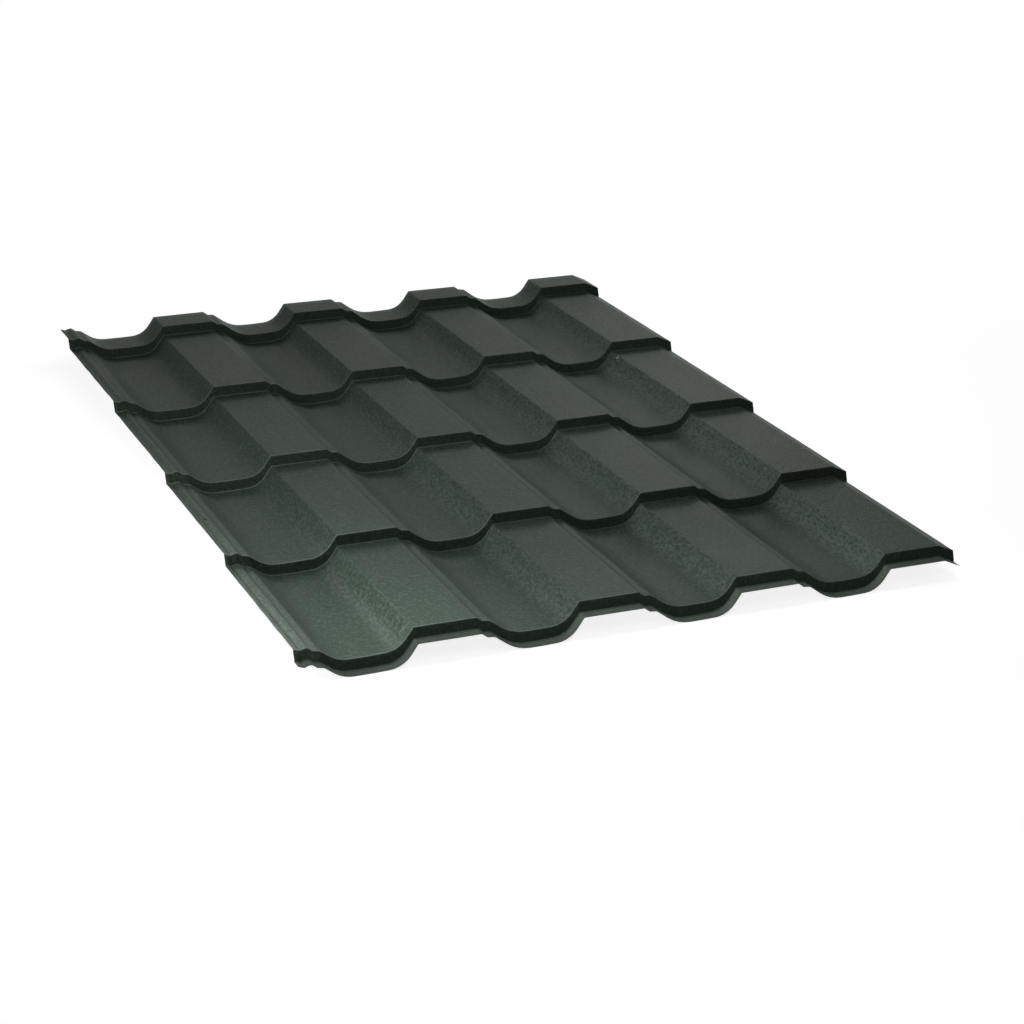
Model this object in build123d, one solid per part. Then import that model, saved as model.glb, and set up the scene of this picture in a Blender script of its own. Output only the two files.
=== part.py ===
# Tile effect metal roofing sheet.
# One sheet of thin coated steel, rolled into waves across its width and pressed into
# tile steps along its length. The sheet lies on its feet, eaves end towards -Y.
from build123d import *
import math
import os

# Sheet, in millimetres
sheet_thickness = 0.5

# Waves across the sheet
wave_count = 4
wave_pitch = 275.0
crest_width = 103.5
crest_height = 36.0
crest_start = 180.5
crest_corner_radius = 2.5

# Press line beside each crest: a short fall, a narrow ledge, then the slope to the trough
ledge_drop = 7.0
ledge_inset = 9.5
ledge_width = 11.8
ledge_fall = 1.2
ledge_inner_radius = 3.0
ledge_outer_radius = 9.0
slope_angle = 36.0
trough_entry_radius = 68.0

# Trough: flat, then a faint rise that turns up to the next crest
trough_flat_end = 112.0
trough_lift = 1.3
trough_lift_radius = 300.0
rise_angle = 55.5
rise_radius = 43.0
shortest_flat = 1.0

# Underlap edge on the left: a turned-up margin, a low bead and a lowered ledge
margin_overhang = 9.8
margin_height = 30.0
gutter_height = 26.5
bead_start = 7.0
bead_end = 12.5
bead_height = 29.2
underlap_ledge_start = 20.5
underlap_ledge_end = 31.5
underlap_ledge_height = 23.3
underlap_ledge_fall = 2.0
underlap_radius = 2.5
underlap_trough_radius = 54.4

# Cover flange on the right
flange_width = 30.0
flange_drop = 13.5

# Tiles along the sheet
tile_count = 4
tile_length = 350.0
step_height = 18.5
head_length = 70.0
eaves_lip_length = 22.0


def trough_entry(wanted_radius, slope_foot):
    """Bend radius from a slope into a trough, no larger than the flat beyond it allows."""
    rise_foot = crest_start - (crest_height - trough_lift) / math.tan(math.radians(rise_angle))
    lift_angle = math.atan(trough_lift / (rise_foot - trough_flat_end))
    lift_reach = trough_lift_radius * math.tan(lift_angle / 2)
    room = trough_flat_end - lift_reach - shortest_flat - slope_foot
    return min(wanted_radius, room / math.tan(math.radians(slope_angle) / 2))


def profile_corners():
    """Corner points (x, height) and bend radii of the upper surface, from left to right."""
    slope_run = 1 / math.tan(math.radians(slope_angle))
    rise_run = 1 / math.tan(math.radians(rise_angle))
    underlap_foot = underlap_ledge_end + (underlap_ledge_height - underlap_ledge_fall) * slope_run
    corners = [
        (-margin_overhang, margin_height, None),
        (0.0, gutter_height, underlap_radius),
        (bead_start, bead_height, underlap_radius),
        (bead_end, bead_height, underlap_radius),
        (underlap_ledge_start, underlap_ledge_height, underlap_radius),
        (underlap_ledge_end, underlap_ledge_height - underlap_ledge_fall, ledge_outer_radius),
        (underlap_foot, 0.0, trough_entry(underlap_trough_radius, underlap_foot)),
    ]
    for wave in range(wave_count):
        left = wave * wave_pitch
        crest_end = left + crest_start + crest_width
        rise_foot = left + crest_start - (crest_height - trough_lift) * rise_run
        corners += [
            (left + trough_flat_end, 0.0, trough_lift_radius),
            (rise_foot, trough_lift, rise_radius),
            (left + crest_start, crest_height, crest_corner_radius),
            (crest_end, crest_height, crest_corner_radius),
        ]
        if wave < wave_count - 1:
            ledge_height = crest_height - ledge_drop
            ledge_end = crest_end + ledge_inset + ledge_width
            slope_foot = ledge_end + (ledge_height - ledge_fall) * slope_run
            corners += [
                (crest_end + ledge_inset, ledge_height, ledge_inner_radius),
                (ledge_end, ledge_height - ledge_fall, ledge_outer_radius),
                (slope_foot, 0.0, trough_entry(trough_entry_radius, slope_foot - left - wave_pitch)),
            ]
    corners.append((crest_end + flange_width, crest_height - flange_drop, None))
    return corners


def profile_line():
    """Upper surface of the sheet as one smooth line in the plane across it."""
    corners = profile_corners()
    points = [(x, z) for x, z, _ in corners]
    radii = [radius for _, _, radius in corners[1:-1]]
    return FilletPolyline(*points, radius=radii)


def closed_face(first, second):
    """Face between two lines that run the same way across the sheet."""
    ends = [Line(first @ 0, second @ 0), Line(first @ 1, second @ 1)]
    return make_face(first.edges() + second.edges() + ends)


def run_to_eaves(face, start, length, height):
    """Carry a cross-section towards the eaves from one place along the sheet."""
    plane = Plane((0, start, height), x_dir=(1, 0, 0), z_dir=(0, -1, 0))
    return extrude(plane * face, amount=length)


def pressed_sheet():
    """The sheet in its own plane, with y = 0 at the first nose and tiles level."""
    upper = profile_line()
    lower = upper.offset_2d(sheet_thickness, side=Side.RIGHT, closed=False)
    section = closed_face(upper, lower)
    step_face = closed_face(upper, lower.moved(Location((0, -step_height, 0))))
    sheet = run_to_eaves(section, head_length, head_length, 0)
    for step in range(tile_count + 1):
        inside = sheet_thickness - step * tile_length
        top = -step * step_height
        length = tile_length if step < tile_count else eaves_lip_length
        sheet += run_to_eaves(step_face, inside, sheet_thickness, top)
        sheet += run_to_eaves(section, inside, length + sheet_thickness, top - step_height)
    return sheet


def laid_on_floor(sheet):
    """Tilt the sheet until the feet of all its steps share one floor, then centre it."""
    tilt = math.degrees(math.atan2(step_height, tile_length))
    tilted = Rot(-tilt, 0, 0) * sheet
    box = tilted.bounding_box()
    return Pos(-box.center().X, -box.center().Y, -box.min.Z) * tilted


roofing_sheet = laid_on_floor(pressed_sheet())
roofing_sheet.label = "roofing_sheet"
os.makedirs("parts", exist_ok=True)
export_step(roofing_sheet, "parts/roofing_sheet.step")
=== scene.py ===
# Looks of the tile effect roofing sheet: the pressed sheet with its bends, coating and edges.
import math

import bpy
import numpy as np
from mathutils import Matrix, Vector, noise


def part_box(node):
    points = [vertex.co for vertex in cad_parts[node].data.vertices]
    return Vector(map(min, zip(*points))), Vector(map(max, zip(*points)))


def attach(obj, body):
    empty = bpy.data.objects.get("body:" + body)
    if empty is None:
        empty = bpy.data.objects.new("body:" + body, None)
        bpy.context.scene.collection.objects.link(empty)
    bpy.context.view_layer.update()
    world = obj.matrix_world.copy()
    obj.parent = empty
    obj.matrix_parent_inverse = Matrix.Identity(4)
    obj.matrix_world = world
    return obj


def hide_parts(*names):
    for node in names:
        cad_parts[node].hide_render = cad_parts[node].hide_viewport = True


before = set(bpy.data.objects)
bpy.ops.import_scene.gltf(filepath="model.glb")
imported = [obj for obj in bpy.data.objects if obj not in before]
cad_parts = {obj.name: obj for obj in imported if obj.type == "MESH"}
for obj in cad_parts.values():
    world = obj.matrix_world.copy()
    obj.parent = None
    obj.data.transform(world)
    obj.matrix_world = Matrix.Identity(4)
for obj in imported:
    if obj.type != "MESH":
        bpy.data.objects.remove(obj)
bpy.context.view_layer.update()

MM = 0.001

# Sheet, in millimetres, as in the solid
SHEET_THICKNESS = 0.5

# Waves across the sheet
WAVE_COUNT = 4
WAVE_PITCH = 275.0
CREST_WIDTH = 103.5
CREST_HEIGHT = 36.0
CREST_START = 180.5
CREST_CORNER_RADIUS = 2.5

# Press line beside each crest
LEDGE_DROP = 7.0
LEDGE_INSET = 9.5
LEDGE_WIDTH = 11.8
LEDGE_FALL = 1.2
LEDGE_INNER_RADIUS = 3.0
LEDGE_OUTER_RADIUS = 9.0
SLOPE_ANGLE = math.radians(36.0)
TROUGH_ENTRY_RADIUS = 68.0

# Trough and the rise to the next crest
TROUGH_FLAT_END = 112.0
TROUGH_LIFT = 1.3
TROUGH_LIFT_RADIUS = 300.0
RISE_ANGLE = math.radians(55.5)
RISE_RADIUS = 43.0

# Underlap edge on the left
MARGIN_OVERHANG = 9.8
MARGIN_HEIGHT = 30.0
GUTTER_HEIGHT = 26.5
BEAD_START = 7.0
BEAD_END = 12.5
BEAD_HEIGHT = 29.2
UNDERLAP_LEDGE_START = 20.5
UNDERLAP_LEDGE_END = 31.5
UNDERLAP_LEDGE_HEIGHT = 23.3
UNDERLAP_LEDGE_FALL = 2.0
UNDERLAP_RADIUS = 2.5
UNDERLAP_TROUGH_RADIUS = 54.4

# Cover flange on the right
FLANGE_WIDTH = 30.0
FLANGE_DROP = 13.5

# Tiles along the sheet
TILE_COUNT = 4
TILE_LENGTH = 350.0
STEP_HEIGHT = 18.5
HEAD_LENGTH = 70.0
EAVES_LIP_LENGTH = 22.0
TILT = math.atan2(STEP_HEIGHT, TILE_LENGTH)

# Step faces: their draft, the bends at nose and foot, and the lines left by the press
STEP_DRAFT = math.radians(10.0)
STEP_RUN = STEP_HEIGHT * math.tan(STEP_DRAFT)
NOSE_RADIUS = 2.2
FOOT_RADIUS = 1.8
PRESS_LINE_SHARES = (0.3, 0.74)
PRESS_LINE_WIDTH = 0.07
PRESS_LINE_HEIGHT = 0.16

# Unevenness of the thin steel
WARP_HEIGHT = 0.5
WARP_SPAN = 130.0
EDGE_WAVE_HEIGHT = 1.4
EDGE_WAVE_SPAN = 38.0
EDGE_WAVE_REACH = 0.0
EDGE_WAVE_SEED = 7.0

# Mesh: the spacing of its points and rows, and the order of its materials
FLAT_SPACING = 12.0
ARC_STEP = math.radians(11.0)
TILE_ROW_SPACING = 18.0
BEND_MARGIN = 2.6
BEND_ROWS = 5
WALL_ROWS = 12
SAME_POINT = 1e-4
COATING, BACKING, CUT_EDGE = range(3)

# Values between which most of a noise lies, and the middle part of them
NOISE_WIDE = (0.3, 0.7)
NOISE_MIDDLE = (0.35, 0.65)

# Coating: colours, gloss and the grain of the matt lacquer, and two lighter colours for painted
# light
COAT_DARK = (0.0396, 0.0600, 0.0432, 1.0)
COAT_LIGHT = (0.0455, 0.0690, 0.0497, 1.0)
COAT_MOTTLE = (0.0345, 0.0530, 0.0380, 1.0)
COAT_SPECK = (0.0920, 0.1240, 0.0990, 1.0)
COAT_FLANK_LIGHT = (0.1350, 0.1760, 0.1430, 1.0)
COAT_PAINTED_LIGHT = (0.2200, 0.2700, 0.2300, 1.0)
COAT_GLOSS = 0.015
COAT_ROUGHNESS = (0.36, 0.46)
CLOUD_SCALE = 4.0
MOTTLE_SCALE = 60.0
MOTTLE_SHARE = 0.3
SPECK_RANGE = (0.46, 0.68)
SPECK_SHARE = 0.6
GRAIN_SCALE = 210.0
GRAIN_STRETCH = 0.55
GRAIN_ROUGHNESS = 0.6
GRAIN_DEPTH = 0.0014

# Painted light on the flanks that face left, where light from the left and a sheen fall: a
# lighter coating there, more to the right and the eaves
FLANK_LEAN = (-0.15, -0.7)
FLANK_LIGHT_START = 0.38
FLANK_LIGHT_CHANGE = (0.60, -0.15, 0.0)
FLANK_LIGHT_GRAIN = (0.4, 1.6)

# Painted highlights along the nose and foot bends and painted light on the lip at the eaves, as
# shares of the lighter colour; the highlights fade to the right
NOSE_HIGHLIGHT = 0.9
FOOT_HIGHLIGHT = 0.9
LIP_PAINTED_LIGHT = 0.5
HIGHLIGHT_AT_RIGHT = 0.35

# Painted light along the underlap edge, as if lit from the left, in metres from its gutter: it
# grows from the head to the eaves. The gutter is left out of it, so that it shows as a line of
# painted shade
EDGE_LIGHT_SHARE = 0.24
EDGE_LIGHT_FROM_TO = (0.45, -0.75)
EDGE_LIGHT_END = (0.034, 0.026)
EDGE_LIGHT_GRAIN = (0.5, 1.5)
GUTTER_SHADE_HALF_WIDTH = (0.0008, 0.0022)

# Small marks on the upper side: painted highlights where small dents and a streak catch the
# light, painted shade in small creases, and one white scuff. Each has a place, half length and
# half width in millimetres, turn from the length of the sheet in degrees, and colour
MARK_HIGHLIGHT = (0.135, 0.170, 0.142, 1.0)
MARK_WHITE = (0.600, 0.620, 0.590, 1.0)
MARK_SHADE = (0.0180, 0.0330, 0.0210, 1.0)
MARKS = (
    (989.0, -120.0, 50.0, 1.8, -8.6, MARK_HIGHLIGHT),
    (1003.0, -384.0, 3.2, 2.2, 20.0, MARK_WHITE),
    (1107.0, -948.0, 9.0, 3.0, 35.0, MARK_HIGHLIGHT),
    (1109.0, -1063.0, 3.5, 2.5, 0.0, MARK_HIGHLIGHT),
    (1001.0, -1076.0, 9.0, 4.5, 20.0, MARK_HIGHLIGHT),
    (172.0, -1379.0, 7.0, 3.0, 60.0, MARK_HIGHLIGHT),
    (111.0, -1205.0, 14.0, 2.6, 30.0, MARK_SHADE),
    (6.0, -890.0, 9.0, 2.6, 10.0, MARK_SHADE),
    (1136.0, -405.0, 30.0, 1.8, 0.0, MARK_HIGHLIGHT),
)
MARK_EDGE = 0.45
MARK_GRAIN = (0.3, 0.5)

# Grey backing coat of the underside
BACKING_DARK = (0.19, 0.20, 0.19, 1.0)
BACKING_LIGHT = (0.23, 0.24, 0.225, 1.0)
BACKING_ROUGHNESS = (0.45, 0.6)
BACKING_CLOUD_SCALE = 6.0
BACKING_GRAIN_SCALE = 500.0

# Sheared edges: zinc and steel
CUT_DARK = (0.10, 0.12, 0.11, 1.0)
CUT_LIGHT = (0.30, 0.31, 0.31, 1.0)
CUT_METAL = 0.6
CUT_ROUGHNESS = (0.4, 0.6)
CUT_STREAK_SCALE = 300.0

# Floor, in metres: white where it is seen, with less of it near the sheet so that a shadow shows
FLOOR_SIZE = 60.0
FLOOR_PAINT = 0.55
FLOOR_GLOW = 0.84
FLOOR_BOUNCE = 0.3
FLOOR_FADE_START = 1.1
FLOOR_FADE_END = 2.0

# Light: the room as a diffuse surface sees it, and soft panels, in metres
# Each panel has its place, the point it faces, its size and its brightness, where 1 is white.
# Two have a narrower beam as well: the angle that their light spreads over.
ROOM_LIGHT = 0.02
LAMPS = {
    "back": ((0.0, 3.11, 1.38), (0.0, 0.0, 0.0), (1.5, 0.85), 3.3),
    "back_right": ((1.55, 2.69, 1.38), (0.0, 0.0, 0.0), (1.5, 0.85), 4.0),
    "right": ((1.5, 1.8, 0.8), (0.0, 0.0, 0.0), (0.8, 0.6), 2.4),
    "above_right": ((0.5, 0.1, 0.8), (0.3, -0.3, 0.0), (0.6, 0.6), 1.1),
    "left_near": ((-1.04, -0.41, 0.35), (-0.35, -0.6, 0.0), (0.45, 0.22), 1.27),
    "left_far": ((-1.57, -0.27, 0.61), (-0.35, -0.6, 0.0), (0.79, 0.39), 3.5),
    "left_high": ((-1.42, -0.69, 0.9), (-0.35, -0.6, 0.0), (0.79, 0.39), 1.16),
    "left_top": ((-1.39, -0.32, 0.9), (-0.35, -0.6, 0.0), (0.79, 0.39), 1.07),
    "left_back": ((-1.38, 0.12, 0.61), (-0.35, -0.6, 0.0), (0.79, 0.39), 0.91),
    "near_top": ((-0.4, -0.3, 0.6), (-0.4, -0.7, 0.0), (0.5, 0.5), 1.3),
    "front": ((-0.2, -1.3, 0.9), (-0.2, -0.6, 0.0), (0.8, 0.5), 1.6),
    "corner": ((-0.7, 0.4, 0.75), (-0.38, -0.97, 0.0), (0.35, 0.35), 1.8, math.radians(26.0)),
    "eaves": ((0.0, -0.66, 0.9), (0.0, -0.72, 0.0), (1.2, 0.1), 0.6, math.radians(36.0)),
}

# Camera, in metres and degrees
CAMERA_PLACE = Vector((-1.5772, -3.7571, 1.7026))
CAMERA_TARGET = Vector((0.0604, -0.0725, -0.0936))
CAMERA_ROLL = math.radians(-2.338)
CAMERA_LENS = 84.9
SENSOR_WIDTH = 36.0
CAMERA_REACH = 100.0


def profile_corners():
    """Corner points and bend radii of the upper surface, from left to right."""
    slope_run = 1 / math.tan(SLOPE_ANGLE)
    rise_run = 1 / math.tan(RISE_ANGLE)
    underlap_end_height = UNDERLAP_LEDGE_HEIGHT - UNDERLAP_LEDGE_FALL
    corners = [
        (-MARGIN_OVERHANG, MARGIN_HEIGHT, 0),
        (0.0, GUTTER_HEIGHT, UNDERLAP_RADIUS),
        (BEAD_START, BEAD_HEIGHT, UNDERLAP_RADIUS),
        (BEAD_END, BEAD_HEIGHT, UNDERLAP_RADIUS),
        (UNDERLAP_LEDGE_START, UNDERLAP_LEDGE_HEIGHT, UNDERLAP_RADIUS),
        (UNDERLAP_LEDGE_END, underlap_end_height, LEDGE_OUTER_RADIUS),
        (UNDERLAP_LEDGE_END + underlap_end_height * slope_run, 0.0, UNDERLAP_TROUGH_RADIUS),
    ]
    for wave in range(WAVE_COUNT):
        left = wave * WAVE_PITCH
        crest_end = left + CREST_START + CREST_WIDTH
        rise_foot = left + CREST_START - (CREST_HEIGHT - TROUGH_LIFT) * rise_run
        corners += [
            (left + TROUGH_FLAT_END, 0.0, TROUGH_LIFT_RADIUS),
            (rise_foot, TROUGH_LIFT, RISE_RADIUS),
            (left + CREST_START, CREST_HEIGHT, CREST_CORNER_RADIUS),
            (crest_end, CREST_HEIGHT, CREST_CORNER_RADIUS),
        ]
        if wave < WAVE_COUNT - 1:
            ledge_height = CREST_HEIGHT - LEDGE_DROP
            ledge_end = crest_end + LEDGE_INSET + LEDGE_WIDTH
            ledge_end_height = ledge_height - LEDGE_FALL
            corners += [
                (crest_end + LEDGE_INSET, ledge_height, LEDGE_INNER_RADIUS),
                (ledge_end, ledge_end_height, LEDGE_OUTER_RADIUS),
                (ledge_end + ledge_end_height * slope_run, 0.0, TROUGH_ENTRY_RADIUS),
            ]
    corners.append((crest_end + FLANGE_WIDTH, CREST_HEIGHT - FLANGE_DROP, 0))
    return corners


def rounded_line(corners, spacing, arc_step):
    """Points and upward normals along straights joined by tangent arcs."""
    points = [np.array(corner[:2]) for corner in corners]
    stations = []

    def add_straight(start, end):
        length = np.linalg.norm(end - start)
        direction = (end - start) / length
        normal = np.array((-direction[1], direction[0]))
        count = max(1, math.ceil(length / spacing))
        for i in range(count + 1):
            stations.append((*(start + direction * length * i / count), *normal))

    last = points[0]
    for before, (*corner, radius), after in zip(points, corners[1:], points[2:]):
        inward = (corner - before) / np.linalg.norm(corner - before)
        outward = (after - corner) / np.linalg.norm(after - corner)
        turn = math.atan2(inward[0] * outward[1] - inward[1] * outward[0], inward @ outward)
        reach = radius * math.tan(abs(turn) / 2)
        arc_start = corner - inward * reach
        add_straight(last, arc_start)
        side = math.copysign(1, turn)
        left_normal = np.array((-inward[1], inward[0]))
        centre = arc_start + left_normal * side * radius
        count = max(2, math.ceil(abs(turn) / arc_step), math.ceil(abs(turn) * radius / spacing))
        for i in range(1, count):
            angle = turn * i / count
            cos, sin = math.cos(angle), math.sin(angle)
            normal = np.array(((cos, -sin), (sin, cos))) @ left_normal
            stations.append((*(centre - normal * side * radius), *normal))
        last = corner + outward * reach
    add_straight(last, points[-1])
    kept = [stations[0]]
    for station in stations[1:]:
        if math.dist(station[:2], kept[-1][:2]) > SAME_POINT:
            kept.append(station)
    return np.array(kept)


def sheet_rows():
    """Rows along the sheet: (place, level, kind, share), from the head to the eaves.

    A tile row lies on a tile, a nose row on the bend at its lower end, a wall row on the
    step face, a foot row on the bend below it and a lip row on the flat lip at the eaves.
    The share runs through each bend or face.
    """
    rows = []

    def add_tile(start, end, level, kind="tile"):
        count = max(1, math.ceil((start - end) / TILE_ROW_SPACING))
        for i in range(count + 1):
            rows.append((start + (end - start) * i / count, level, kind, 0.0))

    start = HEAD_LENGTH
    for step in range(TILE_COUNT + 1):
        nose = -step * TILE_LENGTH
        level = -step * STEP_HEIGHT
        add_tile(start, nose + BEND_MARGIN, level)
        for i in range(BEND_ROWS + 1):
            rows.append((nose, level, "nose", i / BEND_ROWS))
        for i in range(1, WALL_ROWS):
            rows.append((nose, level, "wall", i / WALL_ROWS))
        for i in range(BEND_ROWS + 1):
            rows.append((nose, level, "foot", i / BEND_ROWS))
        start = nose - STEP_RUN - BEND_MARGIN
    lip_end = -TILE_COUNT * TILE_LENGTH - EAVES_LIP_LENGTH
    add_tile(start, lip_end, -(TILE_COUNT + 1) * STEP_HEIGHT, "lip")
    return rows


def unit(vectors):
    return vectors / np.linalg.norm(vectors, axis=-1, keepdims=True)


def surface_grid(line, rows):
    """Points and normals of the upper surface in the sheet's own plane, row by row."""
    x, z = line[:, 0], line[:, 1]
    tile_normal = np.stack([line[:, 2], np.zeros(len(line)), line[:, 3]], axis=1)
    slant = np.array((0.0, -STEP_RUN, -STEP_HEIGHT))
    tangent = np.stack([line[:, 3], np.zeros(len(line)), -line[:, 2]], axis=1)
    wall_normal = unit(np.cross(slant, tangent))
    agreement = np.sum(tile_normal * wall_normal, axis=1, keepdims=True)
    reach = (tile_normal + wall_normal) / (1 + agreement)
    points = []
    normals = []
    for place, level, kind, share in rows:
        edge = np.stack([x, np.full(len(x), place), z + level], axis=1)
        nose_centre = edge - NOSE_RADIUS * reach
        foot_centre = edge + slant + FOOT_RADIUS * reach
        wall_top = nose_centre + NOSE_RADIUS * wall_normal
        wall_foot = foot_centre - FOOT_RADIUS * wall_normal
        if kind in ("tile", "lip"):
            points.append(edge)
            normals.append(tile_normal)
        elif kind == "nose":
            normal = unit(tile_normal * (1 - share) + wall_normal * share)
            points.append(nose_centre + NOSE_RADIUS * normal)
            normals.append(normal)
        elif kind == "wall":
            flat = wall_top + (wall_foot - wall_top) * share
            points.append(flat + wall_normal * press_line(share))
            normals.append(wall_normal)
        else:
            normal = unit(wall_normal * (1 - share) + tile_normal * share)
            points.append(foot_centre - FOOT_RADIUS * normal)
            normals.append(normal)
    return np.array(points), np.array(normals)


def press_line(share):
    """How far the two faint lines that the press leaves stand out of a step face."""
    return sum(
        PRESS_LINE_HEIGHT * math.exp(-(((share - centre) / PRESS_LINE_WIDTH) ** 2))
        for centre in PRESS_LINE_SHARES
    )


def add_warp(points, normals):
    """Slight unevenness of thin steel: broad dents in the tiles and a wavy free edge."""
    for row in range(points.shape[0]):
        for column in range(points.shape[1]):
            x, y = points[row, column, :2]
            dent = noise.noise(Vector((x, y, 0.0)) / WARP_SPAN) * WARP_HEIGHT
            points[row, column] += normals[row, column] * dent
    free = points[:, :, 0] < EDGE_WAVE_REACH
    for row, column in zip(*np.nonzero(free)):
        x, y = points[row, column, :2]
        share = (EDGE_WAVE_REACH - x) / (EDGE_WAVE_REACH + MARGIN_OVERHANG)
        wave = noise.noise(Vector((0.0, y / EDGE_WAVE_SPAN, EDGE_WAVE_SEED)))
        points[row, column, 2] += wave * EDGE_WAVE_HEIGHT * share


def in_row_frame(points, normals):
    """Tilt the sheet onto its feet and put it where the solid lies."""
    cos, sin = math.cos(TILT), math.sin(TILT)
    turn = np.array(((1, 0, 0), (0, cos, sin), (0, -sin, cos)))
    _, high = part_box("roofing_sheet")
    right = (WAVE_COUNT - 1) * WAVE_PITCH + CREST_START + CREST_WIDTH + FLANGE_WIDTH
    head = HEAD_LENGTH * cos + CREST_HEIGHT * sin
    foot = SHEET_THICKNESS * sin + (STEP_HEIGHT + SHEET_THICKNESS) * cos
    shift = np.array((high.x / MM - right, high.y / MM - head, foot))
    return (points @ turn.T + shift) * MM, normals @ turn.T


def new_object(name, data):
    item = bpy.data.objects.new(name, data)
    bpy.context.scene.collection.objects.link(item)
    return item


def sheet_mesh(name, upper, lower):
    """Closed mesh of the sheet: upper side, lower side and cut edges."""
    row_count, column_count = upper.shape[:2]
    size = row_count * column_count
    index = np.arange(size).reshape(row_count, column_count)
    first, right = index[:-1, :-1].ravel(), index[:-1, 1:].ravel()
    below, across = index[1:, :-1].ravel(), index[1:, 1:].ravel()
    top_faces = np.stack([first, below, across, right], axis=1)
    bottom_faces = np.stack([first, right, across, below], axis=1) + size

    def edge_faces(border):
        a, b = border[:-1], border[1:]
        return np.stack([a, b, b + size, a + size], axis=1)

    rim = np.concatenate(
        [
            edge_faces(index[0, :]),
            edge_faces(index[:, -1]),
            edge_faces(index[-1, ::-1]),
            edge_faces(index[::-1, 0]),
        ]
    )
    faces = np.concatenate([top_faces, bottom_faces, rim])
    vertices = np.concatenate([upper.reshape(-1, 3), lower.reshape(-1, 3)])
    mesh = bpy.data.meshes.new(name)
    mesh.from_pydata(vertices.tolist(), [], faces.tolist())
    counts = [len(top_faces), len(bottom_faces), len(rim)]
    materials = np.repeat(np.array((COATING, BACKING, CUT_EDGE), np.int32), counts)
    mesh.polygons.foreach_set("material_index", materials)
    mesh.polygons.foreach_set("use_smooth", materials != CUT_EDGE)
    mesh.update()
    return new_object(name, mesh)


def painted_light_of_row(kind, share, across):
    """How far the coating is painted lighter along one row: painted highlights on the bends and
    painted light on the lip.
    """
    if kind == "nose":
        return NOSE_HIGHLIGHT * math.cos(math.pi / 2 * share) ** 2 * across
    if kind == "foot":
        return FOOT_HIGHLIGHT * math.sin(math.pi * share) ** 2 * across
    if kind == "lip":
        return np.full(len(across), LIP_PAINTED_LIGHT)
    return np.zeros(len(across))


def build_sheet():
    line = rounded_line(profile_corners(), FLAT_SPACING, ARC_STEP)
    rows = sheet_rows()
    points, normals = surface_grid(line, rows)
    add_warp(points, normals)
    upper, normals = in_row_frame(points, normals)
    lower = upper - normals * SHEET_THICKNESS * MM
    sheet = sheet_mesh("pressed_sheet", upper, lower)
    across = np.linspace(1.0, HIGHLIGHT_AT_RIGHT, len(line))
    # Painted highlights on the nose and foot bends, fading to the right, and painted light on
    # the lip
    bend_and_lip_light = np.array([painted_light_of_row(kind, share, across) for _, _, kind, share in rows])
    attribute = sheet.data.attributes.new("bend_and_lip_light", "FLOAT", "POINT")
    attribute.data.foreach_set("value", np.tile(bend_and_lip_light.ravel(), 2))
    for material in (coating_material(), backing_material(), cut_edge_material()):
        sheet.data.materials.append(material)
    return sheet


class Nodes:
    """Short calls for building the node tree of a material or a world."""

    def __init__(self, owner, output="ShaderNodeOutputMaterial"):
        owner.use_nodes = True
        self.owner = owner
        self.tree = owner.node_tree
        self.tree.nodes.clear()
        self.output = self.tree.nodes.new(output)

    def add(self, kind, **values):
        node = self.tree.nodes.new(kind)
        for key, value in values.items():
            setattr(node, key, value)
        return node

    def link(self, source, target):
        self.tree.links.new(source, target)

    def feed(self, value, socket):
        """Set a socket to a plain value, or link another node's output to it."""
        if isinstance(value, (int, float, tuple)):
            socket.default_value = value
        else:
            self.link(value, socket)

    def noise(self, vector, scale, detail=3.0, roughness=0.55):
        node = self.add("ShaderNodeTexNoise")
        node.inputs["Scale"].default_value = scale
        node.inputs["Detail"].default_value = detail
        node.inputs["Roughness"].default_value = roughness
        self.link(vector, node.inputs["Vector"])
        return node.outputs["Fac"]

    def math(self, operation, *values, clamp=False):
        node = self.add("ShaderNodeMath", operation=operation, use_clamp=clamp)
        for value, socket in zip(values, node.inputs):
            self.feed(value, socket)
        return node.outputs[0]

    def span(self, value, low, high, to_low=0.0, to_high=1.0):
        node = self.add("ShaderNodeMapRange")
        node.inputs["From Min"].default_value = low
        node.inputs["From Max"].default_value = high
        node.inputs["To Min"].default_value = to_low
        node.inputs["To Max"].default_value = to_high
        self.link(value, node.inputs["Value"])
        return node.outputs[0]

    def mix(self, factor, first, second):
        """Mix two colours. Sockets 0, 6 and 7 of the node are the factor and the colours."""
        node = self.add("ShaderNodeMix", data_type="RGBA")
        for value, number in ((factor, 0), (first, 6), (second, 7)):
            self.feed(value, node.inputs[number])
        return node.outputs[2]

    def mix_shaders(self, factor, first, second):
        node = self.add("ShaderNodeMixShader")
        for source, socket in zip((factor, first, second), node.inputs):
            self.link(source, socket)
        return node.outputs[0]

    def surface(self, colour, roughness):
        """Plain shader with a colour and a roughness, linked to the output."""
        shader = self.add("ShaderNodeBsdfPrincipled")
        self.link(colour, shader.inputs["Base Color"])
        self.link(roughness, shader.inputs["Roughness"])
        self.finish(shader.outputs[0])
        return shader

    def finish(self, source):
        self.link(source, self.output.inputs["Surface"])


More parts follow.
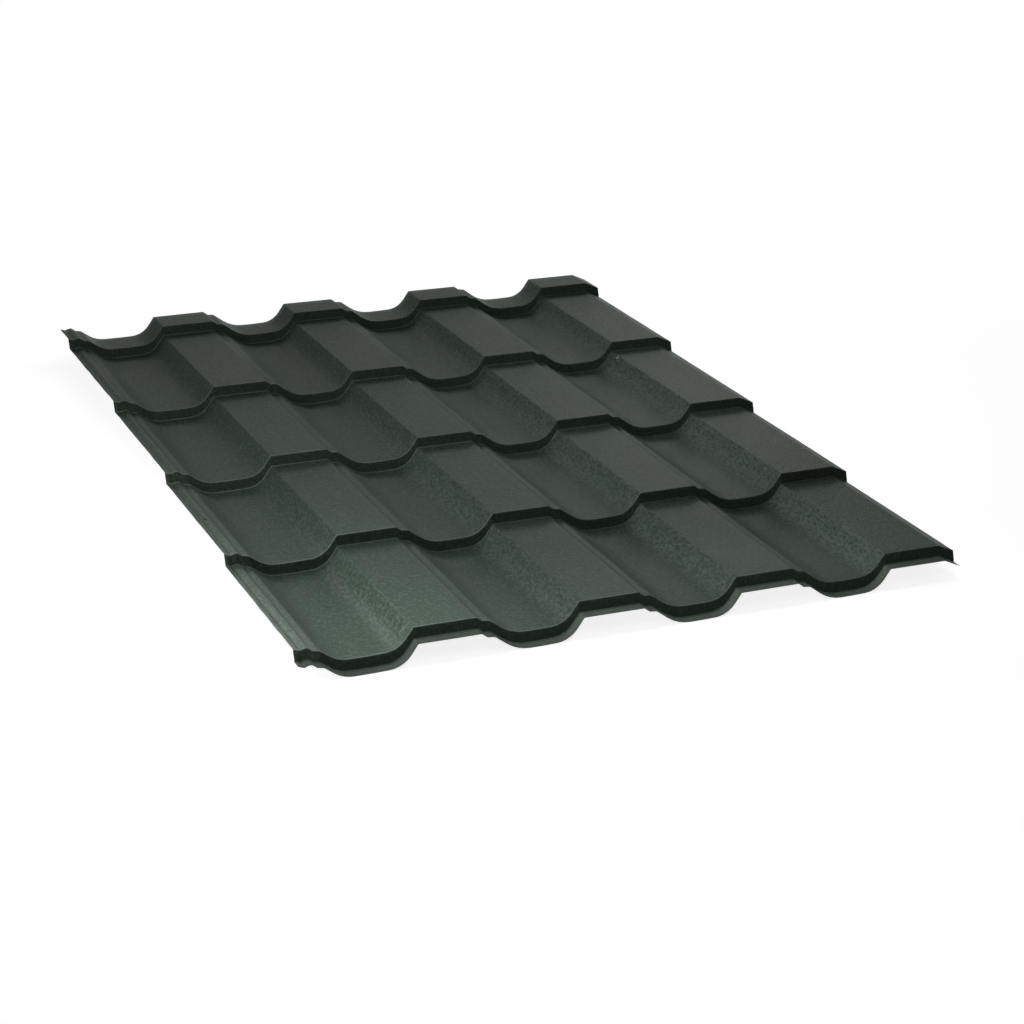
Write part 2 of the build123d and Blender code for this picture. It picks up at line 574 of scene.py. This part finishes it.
def coating_material():
    """Dark green matt coating: its grain, painted light on the flanks, bends, lip and underlap
    edge, and small marks.
    """
    nodes = Nodes(bpy.data.materials.new("matt_green_coating"))
    coordinates = nodes.add("ShaderNodeTexCoord").outputs
    place = coordinates["Object"]
    cloud = nodes.noise(place, CLOUD_SCALE, detail=4.0)
    mottle = nodes.noise(place, MOTTLE_SCALE)
    along = nodes.add("ShaderNodeMapping")
    along.inputs["Scale"].default_value = (1.0, GRAIN_STRETCH, 1.0)
    nodes.link(place, along.inputs["Vector"])
    grain = nodes.noise(along.outputs[0], GRAIN_SCALE, roughness=GRAIN_ROUGHNESS)
    speck = nodes.span(grain, *SPECK_RANGE)
    bend_and_lip_light = nodes.add("ShaderNodeAttribute", attribute_name="bend_and_lip_light")
    colour = nodes.mix(nodes.span(cloud, *NOISE_MIDDLE), COAT_DARK, COAT_LIGHT)
    colour = nodes.mix(nodes.span(mottle, *NOISE_WIDE, 0.0, MOTTLE_SHARE), colour, COAT_MOTTLE)
    colour = nodes.mix(nodes.math("MULTIPLY", speck, SPECK_SHARE), colour, COAT_SPECK)
    # Painted light: the flanks that face left are made lighter, where light from the left and a
    # sheen fall
    colour = nodes.mix(painted_flank_light(nodes, coordinates, grain), colour, COAT_FLANK_LIGHT)
    # Painted highlights on the bends and painted light on the lip
    colour = nodes.mix(bend_and_lip_light.outputs["Fac"], colour, COAT_PAINTED_LIGHT)
    # Painted light along the underlap edge, leaving the gutter dark as painted shade
    colour = nodes.mix(painted_edge_light(nodes, place, grain), colour, COAT_PAINTED_LIGHT)
    # Small marks: painted highlights of dents and a streak, painted shade in creases, and a
    # white scuff
    colour = add_marks(nodes, place, grain, colour)
    shader = nodes.surface(colour, nodes.span(grain, *NOISE_WIDE, *COAT_ROUGHNESS))
    shader.inputs["Specular IOR Level"].default_value = COAT_GLOSS
    bump = nodes.add("ShaderNodeBump")
    bump.inputs["Strength"].default_value = 1.0
    bump.inputs["Distance"].default_value = GRAIN_DEPTH
    nodes.link(grain, bump.inputs["Height"])
    nodes.link(bump.outputs[0], shader.inputs["Normal"])
    return nodes.owner


def painted_flank_light(nodes, coordinates, grain):
    """Share of painted light on the flanks that rise to each crest and face left, broken up by
    the grain.
    """
    direction = nodes.add("ShaderNodeSeparateXYZ")
    nodes.link(coordinates["Normal"], direction.inputs[0])
    flank = nodes.span(direction.outputs["X"], *FLANK_LEAN)
    change = nodes.add("ShaderNodeVectorMath", operation="DOT_PRODUCT")
    nodes.link(coordinates["Object"], change.inputs[0])
    change.inputs[1].default_value = FLANK_LIGHT_CHANGE
    share = nodes.math("ADD", change.outputs["Value"], FLANK_LIGHT_START)
    light_in_grain = nodes.math("MULTIPLY", share, nodes.span(grain, *NOISE_MIDDLE, *FLANK_LIGHT_GRAIN))
    return nodes.math("MULTIPLY", flank, light_in_grain, clamp=True)


def painted_edge_light(nodes, place, grain):
    """Share of painted light along the underlap edge, except down in its gutter, which stays
    dark as painted shade.
    """
    axes = nodes.add("ShaderNodeSeparateXYZ")
    nodes.link(place, axes.inputs[0])
    gutter = in_row_frame(np.zeros(3), np.zeros(3))[0]
    offset = nodes.math("SUBTRACT", axes.outputs["X"], float(gutter[0]))
    inside = nodes.span(offset, *EDGE_LIGHT_END)
    along = nodes.span(axes.outputs["Y"], *EDGE_LIGHT_FROM_TO, 0.0, EDGE_LIGHT_SHARE)
    out_of_gutter = nodes.span(nodes.math("ABSOLUTE", offset), *GUTTER_SHADE_HALF_WIDTH)
    uneven = nodes.math("MULTIPLY", along, nodes.span(grain, *NOISE_MIDDLE, *EDGE_LIGHT_GRAIN))
    return nodes.math("MULTIPLY", uneven, nodes.math("MULTIPLY", inside, out_of_gutter))


def add_marks(nodes, place, grain, colour):
    """Small marks, each an oval with a soft edge: painted highlights, painted shade in creases
    and a white scuff.
    """
    mark_breakup = nodes.span(grain, *MARK_GRAIN)
    for x, y, half_length, half_width, turn, mark_colour in MARKS:
        centre = in_row_frame(np.array((x, y, 0.0)), np.zeros(3))[0]
        oval = nodes.add("ShaderNodeMapping", vector_type="TEXTURE")
        oval.inputs["Location"].default_value = (centre[0], centre[1], 0.0)
        oval.inputs["Rotation"].default_value = (0.0, 0.0, math.radians(turn))
        oval.inputs["Scale"].default_value = (half_width * MM, half_length * MM, 1.0)
        nodes.link(place, oval.inputs["Vector"])
        distance = nodes.add("ShaderNodeVectorMath", operation="LENGTH")
        nodes.link(oval.outputs[0], distance.inputs[0])
        share = nodes.span(distance.outputs["Value"], 1.0, MARK_EDGE)
        colour = nodes.mix(nodes.math("MULTIPLY", share, mark_breakup), colour, mark_colour)
    return colour


def backing_material():
    """Thin grey backing coat of the underside."""
    nodes = Nodes(bpy.data.materials.new("grey_backing_coat"))
    place = nodes.add("ShaderNodeTexCoord").outputs["Object"]
    cloud = nodes.noise(place, BACKING_CLOUD_SCALE, detail=4.0)
    grain = nodes.noise(place, BACKING_GRAIN_SCALE, detail=2.0)
    base = nodes.mix(nodes.span(cloud, *NOISE_WIDE), BACKING_DARK, BACKING_LIGHT)
    nodes.surface(base, nodes.span(grain, *NOISE_WIDE, *BACKING_ROUGHNESS))
    return nodes.owner


def cut_edge_material():
    """Sheared edge: dull zinc and steel between the two coats."""
    nodes = Nodes(bpy.data.materials.new("sheared_steel_edge"))
    place = nodes.add("ShaderNodeTexCoord").outputs["Object"]
    streak = nodes.noise(place, CUT_STREAK_SCALE, detail=2.0)
    base = nodes.mix(nodes.span(streak, *NOISE_WIDE), CUT_DARK, CUT_LIGHT)
    shader = nodes.surface(base, nodes.span(streak, *NOISE_WIDE, *CUT_ROUGHNESS))
    shader.inputs["Metallic"].default_value = CUT_METAL
    return nodes.owner


def seen_rays(nodes):
    """1 for rays that show the background: from the camera, off gloss and through glass."""
    rays = nodes.add("ShaderNodeLightPath").outputs
    direct = nodes.math("MAXIMUM", rays["Is Camera Ray"], rays["Is Glossy Ray"])
    return nodes.math("MAXIMUM", direct, rays["Is Transmission Ray"])


def grey_paint(nodes, grey):
    paint = nodes.add("ShaderNodeBsdfDiffuse")
    paint.inputs["Color"].default_value = (grey, grey, grey, 1.0)
    return paint.outputs[0]


def floor_material():
    """Pale floor: white where it is seen, with the sheet's shadow, and quiet as a bounce."""
    nodes = Nodes(bpy.data.materials.new("pale_floor"))
    place = nodes.add("ShaderNodeTexCoord").outputs["Object"]
    length = nodes.add("ShaderNodeVectorMath", operation="LENGTH")
    nodes.link(place, length.inputs[0])
    far = nodes.span(length.outputs["Value"], FLOOR_FADE_START, FLOOR_FADE_END)
    glow = nodes.add("ShaderNodeEmission")
    glow.inputs["Strength"].default_value = FLOOR_GLOW
    near = nodes.add("ShaderNodeAddShader")
    nodes.link(grey_paint(nodes, FLOOR_PAINT), near.inputs[0])
    nodes.link(glow.outputs[0], near.inputs[1])
    white = nodes.add("ShaderNodeEmission")
    seen = nodes.mix_shaders(far, near.outputs[0], white.outputs[0])
    bounce = grey_paint(nodes, FLOOR_BOUNCE)
    nodes.finish(nodes.mix_shaders(seen_rays(nodes), bounce, seen))
    return nodes.owner


def build_floor():
    half = FLOOR_SIZE / 2
    mesh = bpy.data.meshes.new("floor")
    corners = [(-half, -half, 0), (half, -half, 0), (half, half, 0), (-half, half, 0)]
    mesh.from_pydata(corners, [], [(0, 1, 2, 3)])
    mesh.materials.append(floor_material())
    return new_object("floor", mesh)


def panel_lamp(name, place, target, size, brightness, spread=math.pi):
    """Soft panel that faces a point. At a brightness of 1 it is as bright as white paper."""
    light = bpy.data.lights.new(name, "AREA")
    light.shape = "RECTANGLE"
    light.size, light.size_y = size
    light.energy = math.pi * size[0] * size[1] * brightness
    light.spread = spread
    lamp = new_object(name, light)
    lamp.location = place
    lamp.rotation_euler = (Vector(target) - Vector(place)).to_track_quat("-Z", "Y").to_euler()
    lamp.visible_camera = False


def build_lights():
    for name, lamp in LAMPS.items():
        panel_lamp(name, *lamp)
    world = bpy.data.worlds.new("studio")
    bpy.context.scene.world = world
    nodes = Nodes(world, "ShaderNodeOutputWorld")
    white = nodes.add("ShaderNodeBackground")
    dim = nodes.add("ShaderNodeBackground")
    dim.inputs["Strength"].default_value = ROOM_LIGHT
    nodes.finish(nodes.mix_shaders(seen_rays(nodes), dim.outputs[0], white.outputs[0]))


def build_camera():
    data = bpy.data.cameras.new("camera")
    data.lens = CAMERA_LENS
    data.sensor_width = SENSOR_WIDTH
    data.clip_end = CAMERA_REACH
    camera = new_object("camera", data)
    turn = (CAMERA_TARGET - CAMERA_PLACE).to_track_quat("-Z", "Y").to_matrix().to_4x4()
    roll = Matrix.Rotation(-CAMERA_ROLL, 4, "Z")
    camera.matrix_world = Matrix.Translation(CAMERA_PLACE) @ turn @ roll
    bpy.context.scene.camera = camera


sheet = build_sheet()
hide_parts("roofing_sheet")
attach(sheet, "root")
build_floor()
build_lights()
build_camera()
bpy.context.scene.view_settings.view_transform = "Standard"
